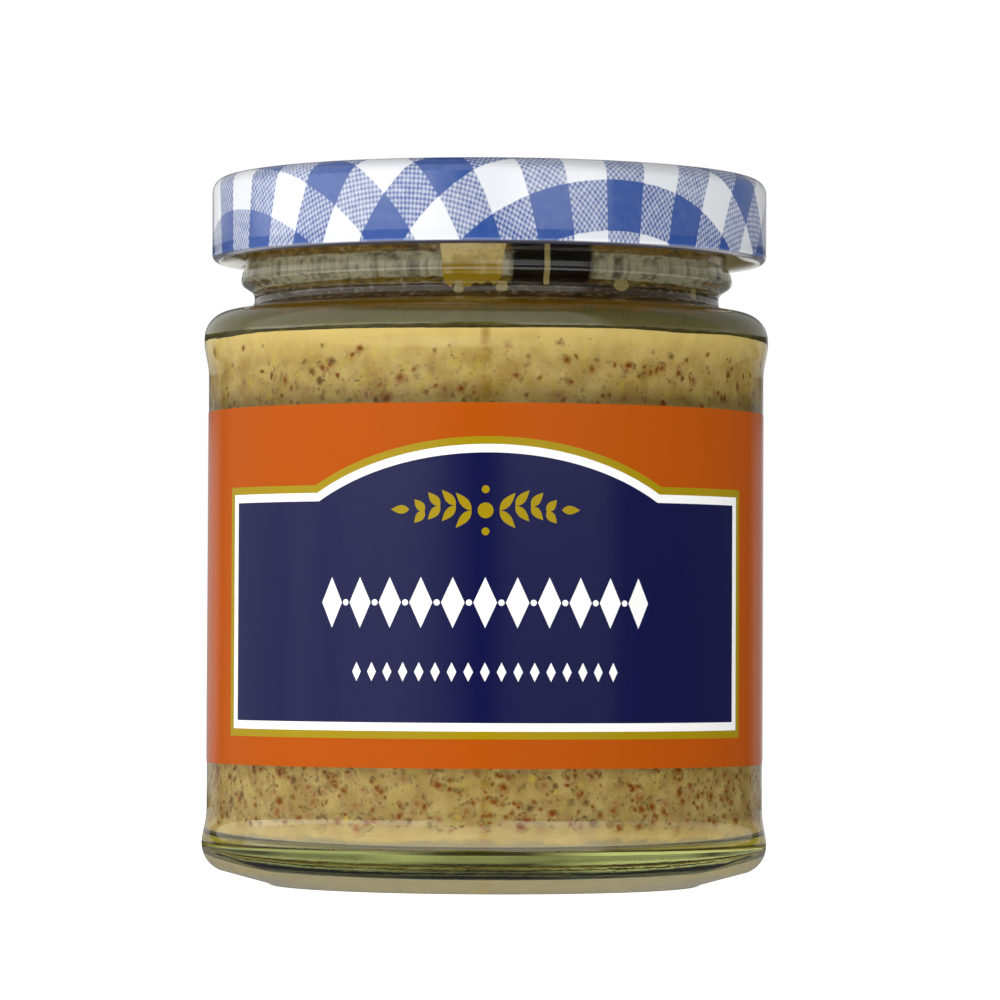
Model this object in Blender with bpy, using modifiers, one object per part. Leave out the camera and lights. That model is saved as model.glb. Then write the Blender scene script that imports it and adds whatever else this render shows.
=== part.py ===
"""A shut 190 ml mustard jar: pressed glass, a lug lid of sheet metal, a paper label and the mustard.

Metres, +Z up. The jar stands on z = 0 with its axis on Z, and the label's front faces -Y.
"""

import math

import bmesh
import bpy
from mathutils import Vector, noise

# Glass, outside
WALL_RADIUS = 0.03325
BULGE_RADIUS = 0.0338
BULGE_EASE = 0.0028
BULGE_FLAT = 0.0009
HEEL_HEIGHT = 0.0049
HEEL_FLAT = 0.0005
HEEL_ROUNDING = 0.0034
HEEL_SLOPE = 24.0
SHOULDER_HEIGHT = 0.0653
SHOULDER_ROUNDING = 0.0031
SHOULDER_END = 80.0
NECK_RADIUS = 0.0278
NECK_HEIGHT = 0.0694
NECK_FLARE = 0.0006
BEAD_RADIUS = 0.0294
BEAD_BOTTOM = 0.0712
BEAD_TOP = 0.0734
BEAD_EASE = 0.0005
FINISH_RADIUS = 0.0289
MOUTH_HEIGHT = 0.0836
FOOT_OUTER_RADIUS = 0.0252
FOOT_INNER_RADIUS = 0.0236
PUSH_UP = 0.0016
PUSH_UP_EDGE = 0.0010
PUSH_UP_RADIUS = 0.0220

# Glass, inside
WALL_THICKNESS = 0.0021
BORE_RADIUS = 0.0260
THROAT_FLARE = 0.0006
THROAT_HEIGHT = 0.0016
FLOOR_HEIGHT = 0.0050
FLOOR_CROWN = 0.0006
FLOOR_ROUNDING = 0.0035
INNER_SHOULDER_ROUNDING = 0.0017

# Thread ridges round the mouth
THREAD_COUNT = 4
THREAD_START = 58.0
THREAD_SWEEP = 70.0
THREAD_POINTS = 21
THREAD_LOW = 0.0760
THREAD_RISE = 0.0054
THREAD_RIDGE = 0.0011
THREAD_CREST = 0.0305
THREAD_TAPER = 0.2
THREAD_TIP = 0.35

# Label
LABEL_BOTTOM = 0.0146
LABEL_TOP = 0.0563
LABEL_RADIUS = 0.0333
LABEL_THICKNESS = 0.00025
LABEL_GAP_DEGREES = 5.0

# Lid
LID_RADIUS = 0.03325
LID_TOP = 0.0844
LID_BOTTOM = 0.0745
LID_ROUNDING = 0.0016
LID_SHEET = 0.00045
LID_CURL = 0.00075
LID_SHIFT = 0.0003
RING_INNER_RADIUS = 0.0256
PANEL_RADIUS = 0.0244
PANEL_DEPTH = 0.0009
BUTTON_RADIUS = 0.0135
BUTTON_DEPTH = 0.0016
BUTTON_FLAT_RADIUS = 0.0081
BUTTON_RIM = 0.0006
BUTTON_RIM_DEPTH = 0.0003

# Lugs that hook the lid under the thread ridges
LUG_WIDTH = 0.0090
LUG_INNER_RADIUS = 0.0298
LUG_OUTER_RADIUS = 0.0324
LUG_HEIGHT = 0.0010
LUG_LIFT = 0.0001
LUG_ROUNDING = 0.0003
LUG_ANGLE = 80.0

# Mustard
FILL_HEIGHT = 0.0652
FILL_EDGE_DROP = 0.0002
FILL_RINGS = 8
SURFACE_WAVE = 0.0009
SURFACE_WAVE_LENGTH = 0.011
NOISE_ORIGIN = Vector((3.1, 7.4, 0.0))

# Colours
GLASS_GREEN = (0.62, 0.70, 0.60)
LABEL_ORANGE = (0.52, 0.13, 0.01)
LID_BLUE = (0.20, 0.26, 0.55)
MUSTARD_YELLOW = (0.62, 0.43, 0.12)

# Fit and fineness
CLEARANCE = 0.0003
ROUND_STEPS = 56
MERGE_DISTANCE = 0.00001
SHARP_ANGLE = math.radians(35)


def new_material(name, colour, roughness, metallic=0.0):
    """Principled material with one plain colour."""
    material = bpy.data.materials.new(name)
    material.use_nodes = True
    surface = material.node_tree.nodes["Principled BSDF"]
    surface.inputs["Base Color"].default_value = (*colour, 1.0)
    surface.inputs["Roughness"].default_value = roughness
    surface.inputs["Metallic"].default_value = metallic
    return material


def new_collection(name):
    """Collection linked to the scene."""
    collection = bpy.data.collections.new(name)
    bpy.context.scene.collection.children.link(collection)
    return collection


def arc(centre, radii, start, end, steps):
    """Points of an arc in the plane of the outline, from start to end degrees, across then up."""
    wide, tall = radii if isinstance(radii, tuple) else (radii, radii)
    angles = [math.radians(start + (end - start) * i / steps) for i in range(steps + 1)]
    return [(centre[0] + wide * math.cos(a), centre[1] + tall * math.sin(a)) for a in angles]


def turned(name, outline, collection, sweep=360.0):
    """Object made by turning an outline of (radius, height) points about Z."""
    mesh = bpy.data.meshes.new(name)
    edges = [(i, i + 1) for i in range(len(outline) - 1)]
    mesh.from_pydata([(radius, 0.0, height) for radius, height in outline], edges, [])
    part = bpy.data.objects.new(name, mesh)
    collection.objects.link(part)
    screw = part.modifiers.new("turn", "SCREW")
    screw.axis = "Z"
    screw.angle = math.radians(sweep)
    screw.steps = ROUND_STEPS
    screw.render_steps = ROUND_STEPS
    screw.use_merge_vertices = True
    screw.merge_threshold = MERGE_DISTANCE
    screw.use_smooth_shade = True
    return part


def real_mesh(source, collection):
    """Plain mesh object with the evaluated shape of source, which it takes the place of."""
    bpy.context.view_layer.update()
    name = source.name
    evaluated = source.evaluated_get(bpy.context.evaluated_depsgraph_get())
    mesh = bpy.data.meshes.new_from_object(evaluated)
    cage = bmesh.new()
    cage.from_mesh(mesh)
    bmesh.ops.remove_doubles(cage, verts=cage.verts, dist=MERGE_DISTANCE)
    cage.to_mesh(mesh)
    cage.free()
    place = source.matrix_world.copy()
    bpy.data.objects.remove(source)
    part = bpy.data.objects.new(name, mesh)
    part.matrix_world = place
    collection.objects.link(part)
    return part


def join_collection(part, collection):
    """Adds everything in collection to part with one Boolean union."""
    union = part.modifiers.new("union", "BOOLEAN")
    union.operation = "UNION"
    union.operand_type = "COLLECTION"
    union.collection = collection
    union.solver = "EXACT"


def hide_guide(guide):
    """Marks an object that only shapes another."""
    guide.hide_render = True
    guide.display_type = "WIRE"


def cavity_outline(inset):
    """Inner wall from the middle of the floor to the top of the straight wall, moved in by inset."""
    radius = WALL_RADIUS - WALL_THICKNESS
    corner = (radius - FLOOR_ROUNDING, FLOOR_HEIGHT + FLOOR_ROUNDING)
    middle = [(0.0, FLOOR_HEIGHT + FLOOR_CROWN + inset)]
    rounding = arc(corner, FLOOR_ROUNDING - inset, -90, 0, 4)
    return middle + rounding + [(radius - inset, SHOULDER_HEIGHT - INNER_SHOULDER_ROUNDING)]


def mouth_outline():
    """From the inner shoulder up the bore, over the rounded rim and down to the neck."""
    radius = WALL_RADIUS - WALL_THICKNESS
    shoulder_centre = (radius - INNER_SHOULDER_ROUNDING, SHOULDER_HEIGHT)
    shoulder = arc(shoulder_centre, INNER_SHOULDER_ROUNDING, 25, 75, 2)
    bore = [(BORE_RADIUS + THROAT_FLARE, NECK_HEIGHT - THROAT_HEIGHT), (BORE_RADIUS, NECK_HEIGHT)]
    rim_width = FINISH_RADIUS - BORE_RADIUS
    rim_centre = ((FINISH_RADIUS + BORE_RADIUS) / 2, MOUTH_HEIGHT - rim_width / 3)
    rim = arc(rim_centre, (rim_width / 2, rim_width / 3), 180, 0, 6)
    bead = [
        (FINISH_RADIUS, BEAD_TOP + BEAD_EASE),
        (BEAD_RADIUS, BEAD_TOP - BEAD_EASE),
        (BEAD_RADIUS, BEAD_BOTTOM + BEAD_EASE),
        (NECK_RADIUS, BEAD_BOTTOM - BEAD_EASE),
    ]
    return shoulder + bore + rim + bead


def shoulder_outline():
    """From the neck out over the rounded shoulder and down its bulge to the wall."""
    centre = (BULGE_RADIUS - SHOULDER_ROUNDING, SHOULDER_HEIGHT)
    neck = [(NECK_RADIUS, NECK_HEIGHT), (NECK_RADIUS + NECK_FLARE, NECK_HEIGHT - NECK_FLARE)]
    rounding = arc(centre, SHOULDER_ROUNDING, SHOULDER_END, 0, 6)
    bulge_end = SHOULDER_HEIGHT - BULGE_FLAT
    return neck + rounding + [(BULGE_RADIUS, bulge_end), (WALL_RADIUS, bulge_end - BULGE_EASE)]


def base_outline():
    """From the label's groove down over the heel's bulge to the foot ring and the pushed-up base."""
    groove_radius = LABEL_RADIUS - LABEL_THICKNESS - CLEARANCE
    groove = [
        (WALL_RADIUS, LABEL_TOP + 2 * CLEARANCE),
        (groove_radius, LABEL_TOP + CLEARANCE),
        (groove_radius, LABEL_BOTTOM - CLEARANCE),
        (WALL_RADIUS, LABEL_BOTTOM - 2 * CLEARANCE),
    ]
    bulge_end = HEEL_HEIGHT + HEEL_FLAT
    wall = [(WALL_RADIUS, bulge_end + BULGE_EASE), (BULGE_RADIUS, bulge_end)]
    heel = arc((BULGE_RADIUS - HEEL_ROUNDING, HEEL_HEIGHT), HEEL_ROUNDING, 0, HEEL_SLOPE - 90, 7)
    foot = [
        (FOOT_OUTER_RADIUS, 0.0),
        (FOOT_INNER_RADIUS, 0.0),
        (PUSH_UP_RADIUS, PUSH_UP_EDGE),
        (0.0, PUSH_UP),
    ]
    return groove + wall + heel + foot


def thread_ridge(index, collection):
    """One ridge of the screw finish: a round bar on a short helix, thinner at both ends."""
    curve = bpy.data.curves.new(f"thread_{index}", "CURVE")
    curve.dimensions = "3D"
    curve.bevel_depth = THREAD_RIDGE
    curve.bevel_resolution = 2
    curve.use_fill_caps = True
    spline = curve.splines.new("POLY")
    spline.points.add(THREAD_POINTS - 1)
    radius = THREAD_CREST - THREAD_RIDGE
    for i, point in enumerate(spline.points):
        along = i / (THREAD_POINTS - 1)
        angle = math.radians(THREAD_START + 360.0 / THREAD_COUNT * index + THREAD_SWEEP * along)
        height = THREAD_LOW + THREAD_RISE * along
        point.co = (radius * math.cos(angle), radius * math.sin(angle), height, 1.0)
        from_end = min(along, 1.0 - along) / THREAD_TAPER
        point.radius = THREAD_TIP + (1.0 - THREAD_TIP) * min(1.0, from_end)
    ridge = bpy.data.objects.new(curve.name, curve)
    collection.objects.link(ridge)
    solid = real_mesh(ridge, collection)
    hide_guide(solid)


def make_glass(parts, guides):
    """The jar, turned in one piece, with its thread ridges joined on."""
    outline = cavity_outline(0.0) + mouth_outline() + shoulder_outline() + base_outline()
    glass = turned("glass_jar", outline, parts)
    for index in range(THREAD_COUNT):
        thread_ridge(index, guides)
    join_collection(glass, guides)
    glass.data.materials.append(new_material("glass", GLASS_GREEN, 0.05))


def make_label(parts):
    """Paper wrapped round the groove, with its two ends just short of meeting at the back."""
    outline = [(LABEL_RADIUS, LABEL_TOP), (LABEL_RADIUS, LABEL_BOTTOM)]
    label = turned("label", outline, parts, 360.0 - LABEL_GAP_DEGREES)
    label.rotation_euler.z = math.radians(90.0 + LABEL_GAP_DEGREES / 2)
    paper = label.modifiers.new("paper", "SOLIDIFY")
    paper.thickness = LABEL_THICKNESS
    paper.offset = -1.0
    label.data.materials.append(new_material("label_paper", LABEL_ORANGE, 0.5))


def panel_outline(sheet):
    """Top of the lid from the sunk button out to the rounded corner, lowered by the sheet."""
    top = LID_TOP - sheet
    return [
        (0.0, top - BUTTON_DEPTH),
        (BUTTON_FLAT_RADIUS, top - BUTTON_DEPTH),
        (BUTTON_RADIUS - BUTTON_RIM, top - PANEL_DEPTH - BUTTON_RIM_DEPTH),
        (BUTTON_RADIUS, top - PANEL_DEPTH),
        (PANEL_RADIUS, top - PANEL_DEPTH),
        (RING_INNER_RADIUS, top),
    ]


def lid_outline():
    """Out over the top, down the skirt, round the curl and back up inside."""
    corner = (LID_RADIUS - LID_ROUNDING, LID_TOP - LID_ROUNDING)
    curl = (LID_RADIUS - LID_CURL, LID_BOTTOM + LID_CURL)
    outside = panel_outline(0.0) + arc(corner, LID_ROUNDING, 90, 0, 5)
    rolled = arc(curl, LID_CURL, 0, -240, 8)
    skirt = [(LID_RADIUS - LID_SHEET, curl[1] + LID_CURL)]
    inside = arc(corner, LID_ROUNDING - LID_SHEET, 0, 90, 3)
    return outside + rolled + skirt + inside + panel_outline(LID_SHEET)[::-1]


def lug(index, collection):
    """One tab pressed in from the curl, which sits under a thread ridge."""
    angle = math.radians(LUG_ANGLE + 360.0 / THREAD_COUNT * index)
    radius = (LUG_INNER_RADIUS + LUG_OUTER_RADIUS) / 2
    height = LID_BOTTOM + LUG_LIFT + LUG_HEIGHT / 2
    place = (LID_SHIFT + radius * math.cos(angle), radius * math.sin(angle), height)
    bpy.ops.mesh.primitive_cube_add(size=1.0, location=place, rotation=(0.0, 0.0, angle))
    tab = bpy.context.object
    tab.name = f"lug_{index}"
    tab.scale = (LUG_OUTER_RADIUS - LUG_INNER_RADIUS, LUG_WIDTH, LUG_HEIGHT)
    bpy.ops.object.transform_apply(location=False, rotation=False, scale=True)
    rounding = tab.modifiers.new("rounded", "BEVEL")
    rounding.width = LUG_ROUNDING
    rounding.segments = 2
    for owner in list(tab.users_collection):
        owner.objects.unlink(tab)
    collection.objects.link(tab)
    hide_guide(tab)


def make_lid(parts, guides):
    """Thin metal cap with a sunk safety button, a curled edge and lugs, a little off centre."""
    lid = turned("lid", lid_outline(), parts)
    for index in range(THREAD_COUNT):
        lug(index, guides)
    join_collection(lid, guides)
    lid.location.x = LID_SHIFT
    lid.data.materials.append(new_material("lid_lacquer", LID_BLUE, 0.25))


def surface_lift(x, y):
    """Height of the mustard's soft waves at a point of its top."""
    spot = Vector((x, y, 0.0)) / SURFACE_WAVE_LENGTH + NOISE_ORIGIN
    return SURFACE_WAVE * noise.noise(spot)


def make_mustard(parts):
    """The filling, clear of the glass, with an uneven top where it settled."""
    side = cavity_outline(CLEARANCE)
    edge_radius = side[-1][0]
    top = [
        (edge_radius * ring / FILL_RINGS, FILL_HEIGHT - FILL_EDGE_DROP * (ring / FILL_RINGS) ** 2)
        for ring in range(FILL_RINGS + 1)
    ]
    outline = top + side[:-1][::-1]
    mustard = real_mesh(turned("mustard", outline, parts), parts)
    for vertex in mustard.data.vertices:
        x, y, z = vertex.co
        if z > FILL_HEIGHT - 2 * FILL_EDGE_DROP:
            vertex.co.z += surface_lift(x, y)
    mustard.data.materials.append(new_material("mustard", MUSTARD_YELLOW, 0.5))
    mustard.data.shade_smooth()
    mustard.data.set_sharp_from_angle(angle=SHARP_ANGLE)


def main():
    for old in list(bpy.data.objects):
        bpy.data.objects.remove(old)
    parts = new_collection("mustard_jar")
    threads = new_collection("thread_guides")
    lugs = new_collection("lug_guides")
    make_glass(parts, threads)
    make_label(parts)
    make_lid(parts, lugs)
    make_mustard(parts)


main()
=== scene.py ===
"""Looks of the mustard jar: pressed glass, checked lid, printed label and grainy mustard in a studio.

Metres, +Z up, in the frame of the CAD model: the jar's axis on Z, the label's front towards -Y.
Angles round the jar run from the front towards +X.
"""

import math
import random

import bmesh
import bpy
from mathutils import Matrix, Vector, noise
from mathutils.geometry import delaunay_2d_cdt


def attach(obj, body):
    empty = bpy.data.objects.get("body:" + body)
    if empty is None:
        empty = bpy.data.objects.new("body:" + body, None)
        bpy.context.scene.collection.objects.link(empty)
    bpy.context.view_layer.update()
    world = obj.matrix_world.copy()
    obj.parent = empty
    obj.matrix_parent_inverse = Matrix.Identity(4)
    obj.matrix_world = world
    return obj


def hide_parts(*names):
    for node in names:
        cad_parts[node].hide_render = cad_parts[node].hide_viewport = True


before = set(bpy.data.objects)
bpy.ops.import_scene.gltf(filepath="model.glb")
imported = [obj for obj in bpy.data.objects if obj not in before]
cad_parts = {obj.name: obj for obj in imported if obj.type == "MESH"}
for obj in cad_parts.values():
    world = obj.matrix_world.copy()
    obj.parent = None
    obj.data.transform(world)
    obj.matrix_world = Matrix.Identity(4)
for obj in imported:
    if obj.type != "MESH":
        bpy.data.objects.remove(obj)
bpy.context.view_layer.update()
BODY = "root"

# Glass, outside
WALL_RADIUS = 0.03325
BULGE_RADIUS = 0.0338
BULGE_EASE = 0.0028
BULGE_FLAT = 0.0009
HEEL_HEIGHT = 0.0049
HEEL_FLAT = 0.0005
HEEL_ROUNDING = 0.0034
HEEL_SLOPE = 24.0
SHOULDER_HEIGHT = 0.0653
SHOULDER_ROUNDING = 0.0031
SHOULDER_END = 80.0
NECK_RADIUS = 0.0278
NECK_HEIGHT = 0.0694
NECK_FLARE = 0.0006
BEAD_RADIUS = 0.0294
BEAD_BOTTOM = 0.0712
BEAD_TOP = 0.0734
BEAD_EASE = 0.0005
FINISH_RADIUS = 0.0289
MOUTH_HEIGHT = 0.0836
FOOT_OUTER_RADIUS = 0.0252
FOOT_INNER_RADIUS = 0.0236
PUSH_UP = 0.0016
PUSH_UP_EDGE = 0.0010
PUSH_UP_RADIUS = 0.0220

# Glass, inside
WALL_THICKNESS = 0.0021
INNER_RADIUS = WALL_RADIUS - WALL_THICKNESS
BORE_RADIUS = 0.0260
THROAT_FLARE = 0.0006
THROAT_HEIGHT = 0.0016
FLOOR_HEIGHT = 0.0050
FLOOR_CROWN = 0.0006
FLOOR_ROUNDING = 0.0035
INNER_SHOULDER_ROUNDING = 0.0017

# Where the straight walls of the neck start and end, and how far from a corner the glass rounds
BORE_START = 0.0012
FINISH_START = 0.0009
RIM_GAP = 0.0003
BORE_EASE = 0.0009
FINISH_EASE = 0.0006
WALL_EASE = 0.0012
FOOT_EASE = 0.0006

# Thread ridges round the mouth
THREAD_COUNT = 4
THREAD_START = 58.0
THREAD_SWEEP = 70.0
THREAD_LOW = 0.0760
THREAD_RISE = 0.0054
THREAD_HALF_WIDTH = 0.0013
THREAD_HEIGHT = 0.0016
THREAD_TAPER = 0.2

# Marks of the glass mould
SEAM_HEIGHT = 0.00006
SEAM_HALF_DEGREES = 1.2
KNURL_COUNT = 80
KNURL_DEPTH = 0.00012
WAVE_DEPTH = 0.00005
WAVE_LENGTH = 0.009
RIPPLE_DEPTH = 0.00002
RIPPLE_LENGTH = 0.006

# Lid
LID_RADIUS = 0.03325
LID_TOP = 0.0844
LID_BOTTOM = 0.0745
LID_ROUNDING = 0.0016
LID_SHEET = 0.00045
LID_CURL = 0.00075
LID_SHIFT = 0.0003
RING_INNER_RADIUS = 0.0256
PANEL_RADIUS = 0.0244
PANEL_DEPTH = 0.0009
BUTTON_RADIUS = 0.0135
BUTTON_DEPTH = 0.0016
BUTTON_FLAT_RADIUS = 0.0081
BUTTON_RIM = 0.0006
BUTTON_RIM_DEPTH = 0.0003
LUG_COUNT = 4
LUG_ANGLE = 80.0
LUG_HALF_DEGREES = 8.3
LUG_EASE_DEGREES = 2.5
LUG_REACH = 0.0017
LUG_MIDDLE = 0.0751
LUG_SINK = 0.35
CURL_PRINTED_STEPS = 8
CURL_ROLLED_STEPS = 16
LID_EASE = 0.0005

# Checks on the lid: two sets of stripes at right angles, printed on the flat sheet before it was drawn
STRIPE_WIDTH = 0.005146
STRIPE_SHARPNESS = 14.0
STRIPE_ANGLE = math.radians(26.08)
STRIPE_SHIFT = (0.004315, 0.008684)
PRINT_DROP = 0.000256
PRINT_AXIS_SHIFT = 0.0005
THREADS_PER_STRIPE = 14
FIRST_COVER = 0.70
SECOND_COVER = 0.58
THREAD_SHOW = 0.34
# Heights where the painted shade at the lid's lower edge starts and where it is full
LID_SHADE_HEIGHTS = (LID_BOTTOM + 0.0005, LID_BOTTOM + 0.0003)

# Label
LABEL_BOTTOM = 0.0146
LABEL_TOP = 0.0563
LABEL_RADIUS = 0.0333
LABEL_THICKNESS = 0.0001
LABEL_GAP_DEGREES = 5.0
LABEL_HALF = LABEL_RADIUS * math.radians(180.0 - LABEL_GAP_DEGREES / 2)
LABEL_STEP = 0.0009

# Arched panel on the label's front
PANEL_HALF = 0.03675
PANEL_BOTTOM = 0.01796
PANEL_SHOULDER = 0.04695
ARCH_RADIUS = 0.0439
ARCH_CENTRE = (0.0004, 0.00855)
BORDER_WHITE = 0.00088
BORDER_NAVY = 0.00184

# Ornaments: leafy sprigs, two rows of lozenges, and the lozenges on the panels at the sides
SPRIG_HEIGHT = 0.0440
SPRIG_DOT = 0.0009
SPRIG_WAVE = 0.0006
LEAF_START = 0.0016
LEAF_PITCH = 0.0018
LEAF_LENGTH = 0.0027
LEAF_WIDTH = 0.0010
LEAF_LEAN = 48
LARGE_ROW = 0.0335
LARGE_PITCH = 0.0037
LARGE_LOZENGE = (0.00135, 0.0029)
DOT_RADIUS = 0.00036
SMALL_ROW = 0.0256
SMALL_PITCH = 0.0019
SMALL_LOZENGE = (0.00055, 0.0011)
SIDE_MIDDLE = 0.0700
SIDE_HALF = 0.0165
SIDE_ROWS = (0.0245, 0.0325, 0.0405)
SIDE_PITCH = 0.0085
SIDE_LOZENGE = (0.0012, 0.0019)

# Mustard
FILL_HEIGHT = 0.0652
FILL_EDGE_DROP = 0.0002
FILL_BITE = 0.00005
SURFACE_WAVE = 0.0009
SURFACE_WAVE_LENGTH = 0.011
NOISE_ORIGIN = Vector((3.1, 7.4, 0.0))
GRAIN_LIFT = 0.00025
GRAIN_LENGTH = 0.0013
EDGE_CALM = 0.85
GRAZING = (0.56, 0.62)
STREAK_EDGES = (0.0008, 0.0002)

# Bits in the mustard, which grow rarer above the label
LABEL_MARGIN = 0.0015
BIT_HEIGHTS = (FLOOR_HEIGHT + 0.0024, FILL_HEIGHT - 0.0010)
BIT_DEPTH = 0.0001
BIT_SIZE_FALL = 1.4
SETTLING = 0.0130
THINNING = 0.38

# Film and runs of mustard that the filling left on the inside of the neck
FILM_TOP = 0.0815
FILM_DEPTH = 0.00015
FILM_BITE = 0.00003
RUN_BITE = 0.00008
RUN_THICKNESS = 0.0002
SMEAR_STEP = 0.0007
SMEAR_RISE = 0.0009
DRIP_NECK = 0.7
RUN_CHANGE = (0.0725, 0.0731)
# Patch of painted shade, near black, on the film in front, where the unlit headspace shows through the
# neck
SHADE_PATCH_MIDDLE = math.radians(16.5)
SHADE_PATCH_EDGES = (math.radians(11.5), math.radians(9.5))
SHADE_PATCH_BOTTOM = (0.0702, 0.0706)
SHADE_PATCH_STRAY = 90.0
BLOTCH_BOTTOM = (0.0679, 0.0683)

# Fineness
ROUND_STEPS = 240
SHARP_ANGLE = math.radians(40)

# Colours, as the surface reflects them
WHITE = (1.0, 1.0, 1.0)
GLASS_TINT = (0.88, 0.93, 0.41)
GLASS_DENSITY = 34.0
GLASS_SHADE = (0.95, 0.96, 0.94)
BLUE = (0.013, 0.060, 0.265)
LID_WHITE = (0.69, 0.71, 0.74)
# Painted shade at the lid's lower edge, near black
LID_EDGE_SHADE = (0.02, 0.02, 0.04)
ORANGE = (0.410, 0.076, 0.004)
GOLD = (0.335, 0.238, 0.003)
NAVY = (0.004, 0.005, 0.052)
PAPER_WHITE = (0.93, 0.93, 0.91)
PAPER_BACK = (0.62, 0.58, 0.50)
LACQUER = (0.74, 0.73, 0.70)
PASTE = (0.345, 0.222, 0.057)
PASTE_LIGHT = (0.47, 0.340, 0.120)
PASTE_YELLOW = (0.43, 0.315, 0.050)
PASTE_GREY = (0.26, 0.160, 0.062)
# Painted shade, darker towards the bottom of the mustard
PASTE_LOW_SHADE = (0.140, 0.108, 0.058)
# Painted shade on the mustard's underside
PASTE_UNDERSIDE_SHADE = (0.110, 0.105, 0.090)
# Painted highlight, a lighter cream where the glass bulges
PASTE_BULGE_HIGHLIGHT = (0.66, 0.49, 0.175)
PASTE_AMBER = (0.24, 0.125, 0.008)
BRAN_RED = (0.155, 0.034, 0.001)
BRAN_BROWN = (0.205, 0.072, 0.007)
BRAN_PALE = (0.28, 0.145, 0.052)
SEED_DARK = (0.055, 0.027, 0.003)
SEED_BROWN = (0.18, 0.058, 0.012)
SEED_RIM = (0.080, 0.046, 0.010)
SPECK_OLIVE = (0.110, 0.070, 0.012)
HULL_YELLOW = (0.50, 0.34, 0.022)
MIRRORED = (0.35, 0.35, 0.35)
PASTE_PATCHES = [  # colour, share, length, detail, range of the noise, stretch
    (PASTE_LIGHT, 1.0, 0.0028, 4.0, (0.38, 0.64), None),
    (PASTE_GREY, 0.35, 0.0013, 3.0, (0.52, 0.70), (1.0, 1.0, 0.8)),
    (PASTE_YELLOW, 0.70, 0.0017, 2.0, (0.54, 0.72), (1.3, 1.3, 1.0)),
    (BRAN_PALE, 0.65, 0.0007, 3.0, (0.58, 0.72), None),
    (SPECK_OLIVE, 0.35, 0.00035, 2.0, (0.56, 0.74), None),
]
# Painted light and shade on the paste, by height: painted shade low down and on the underside, painted
# highlights at the two glass bulges
PASTE_LIGHT_AND_SHADE = [  # colour, share, height where it starts and where it is full
    (PASTE_LOW_SHADE, 0.52, 0.0160, FLOOR_HEIGHT),
    (PASTE_BULGE_HIGHLIGHT, 0.16, FLOOR_HEIGHT + FLOOR_ROUNDING, FLOOR_HEIGHT + 0.0028),
    (PASTE_UNDERSIDE_SHADE, 0.55, FLOOR_HEIGHT + 0.0013, FLOOR_HEIGHT + 0.0006),
    (PASTE_BULGE_HIGHLIGHT, 0.85, FILL_HEIGHT - 0.0038, FILL_HEIGHT),
]
RUN_CREAM = (0.58, 0.440, 0.200)
RUN_GOLD = (0.27, 0.170, 0.006)
RUN_PALE = (0.30, 0.235, 0.095)
# Near black of the patch of painted shade on the film
SHADE_PATCH_BLACK = (0.003, 0.001, 0.0005)
FILM_PALE = (0.36, 0.33, 0.25)
FILM_DARK = (0.012, 0.007, 0.002)
# Film colour by height: partly the film's own colour, and in the dark bands painted shade of the unlit
# headspace, under the lid and at the foot of the neck
FILM_AND_SHADE_BANDS = [  # height, colour
    (0.0649, (0.035, 0.030, 0.008)),
    (0.0652, (0.045, 0.040, 0.010)),
    (0.0654, (0.088, 0.078, 0.016)),
    (0.0664, (0.082, 0.072, 0.014)),
    (0.0667, (0.145, 0.074, 0.002)),
    (0.0676, (0.130, 0.064, 0.002)),
    (0.0678, (0.045, 0.009, 0.002)),
    (0.0681, (0.035, 0.010, 0.002)),
    (0.0684, (0.062, 0.032, 0.004)),
    (0.0704, (0.052, 0.028, 0.004)),
    (0.0708, (0.130, 0.078, 0.006)),
    (0.0719, (0.130, 0.078, 0.006)),
    (0.0723, (0.320, 0.290, 0.215)),
    (0.0736, (0.350, 0.320, 0.240)),
    (0.0740, (0.170, 0.088, 0.006)),
    (0.0760, (0.150, 0.080, 0.006)),
]
RUN_MOTTLES = (BRAN_PALE, 0.5, 0.0007, 3.0, (0.50, 0.72), None)
FILM_SPECKLES = (SEED_DARK, 0.5, 0.0005, 4.0, (0.52, 0.70), None)
FILM_BLOTCHES = [
    (FILM_PALE, 0.40, 0.0009, 3.0, (0.54, 0.68), (1.0, 1.0, 1.3)),
    (FILM_DARK, 0.80, 0.0016, 4.0, (0.47, 0.68), (1.0, 1.0, 1.3)),
]
STAGE_WHITE = (0.35, 0.35, 0.35)
# Dim glow of the floor near the jar, and the radii where it shows, in reflections and refractions:
# painted shade of the table round the jar
FOOT_SHADE_GLOW = 0.24
FOOT_SHADE_RADII = (0.085, 0.045)
# Radii of the painted contact shadow under the foot, where the floor's glow goes out
CONTACT_SHADOW_RADII = (0.0253, 0.0260)


# Outlines

def arc(centre, radii, start, end, steps):
    """Points of an arc in the plane of the outline, from start to end degrees, across then up."""
    wide, tall = radii if isinstance(radii, tuple) else (radii, radii)
    angles = [math.radians(start + (end - start) * i / steps) for i in range(steps + 1)]
    return [(centre[0] + wide * math.cos(a), centre[1] + tall * math.sin(a)) for a in angles]


def between(first, second, share):
    """Point on the way from first to second."""
    return tuple(a + (b - a) * share for a, b in zip(first, second))


def softened(points, reach, steps=4):
    """Outline with every corner replaced by a small curve that starts reach before it."""
    smooth = [points[0]]
    for before, corner, after in zip(points, points[1:], points[2:]):
        share_in = min(reach / max(math.dist(before, corner), reach), 0.5)
        share_out = min(reach / max(math.dist(corner, after), reach), 0.5)
        start = between(corner, before, share_in)
        end = between(corner, after, share_out)
        for i in range(steps + 1):
            along = i / steps
            near = between(start, corner, along)
            far = between(corner, end, along)
            smooth.append(between(near, far, along))
    return smooth + [points[-1]]


def rising(low, high, radius, count):
    """Evenly spaced points of a straight wall."""
    return [(radius, low + (high - low) * i / count) for i in range(count + 1)]


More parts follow.
